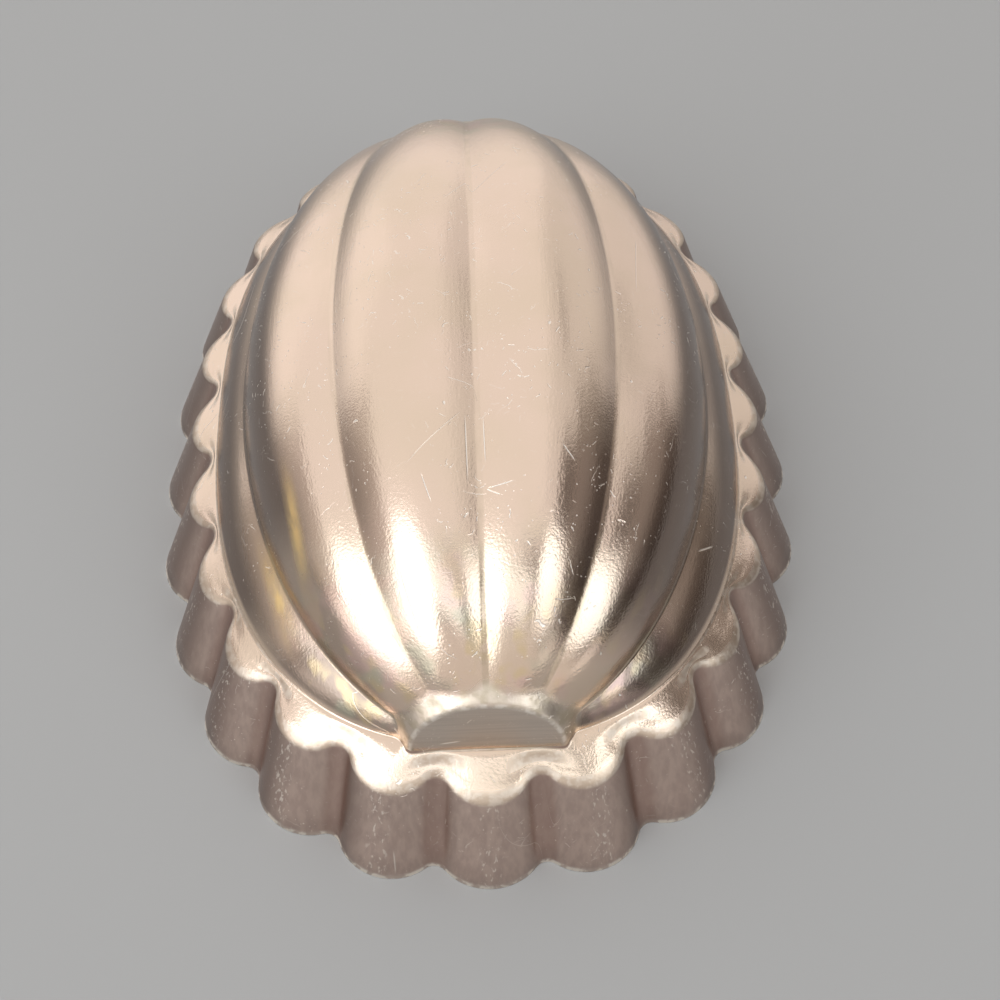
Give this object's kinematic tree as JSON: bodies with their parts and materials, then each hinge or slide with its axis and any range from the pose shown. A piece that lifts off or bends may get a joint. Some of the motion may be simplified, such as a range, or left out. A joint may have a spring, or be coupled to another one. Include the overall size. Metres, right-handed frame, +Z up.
{
  "type": "fluted jelly mould",
  "caption": "Small oval melon-shaped jelly mould of pressed copper-toned aluminium, with a lobed dome, a scalloped ledge and a fluted skirt, standing on its rim.",
  "frame": {"origin": "on the table under the middle of the mould, in the plane of its rim", "axes": "+Z up through the dome, +Y along the melon to its rear boss, -Y to the stem boss at the front, +X to the right seen from the front"},
  "size_m": [0.0908, 0.127, 0.0433],
  "materials": {
    "anodised_aluminium": "copper-toned anodised and polished, with fine scratches and a bare worn rim"
  },
  "bodies": {
    "root": {"skirt": "anodised_aluminium", "ledge": "anodised_aluminium", "lobe_right_lower": "anodised_aluminium", "lobe_right_middle": "anodised_aluminium", "lobe_right_top": "anodised_aluminium", "lobe_left_lower": "anodised_aluminium", "lobe_left_middle": "anodised_aluminium", "lobe_left_top": "anodised_aluminium", "stem_boss": "anodised_aluminium", "rear_boss": "anodised_aluminium"}
  },
  "joints": []
}
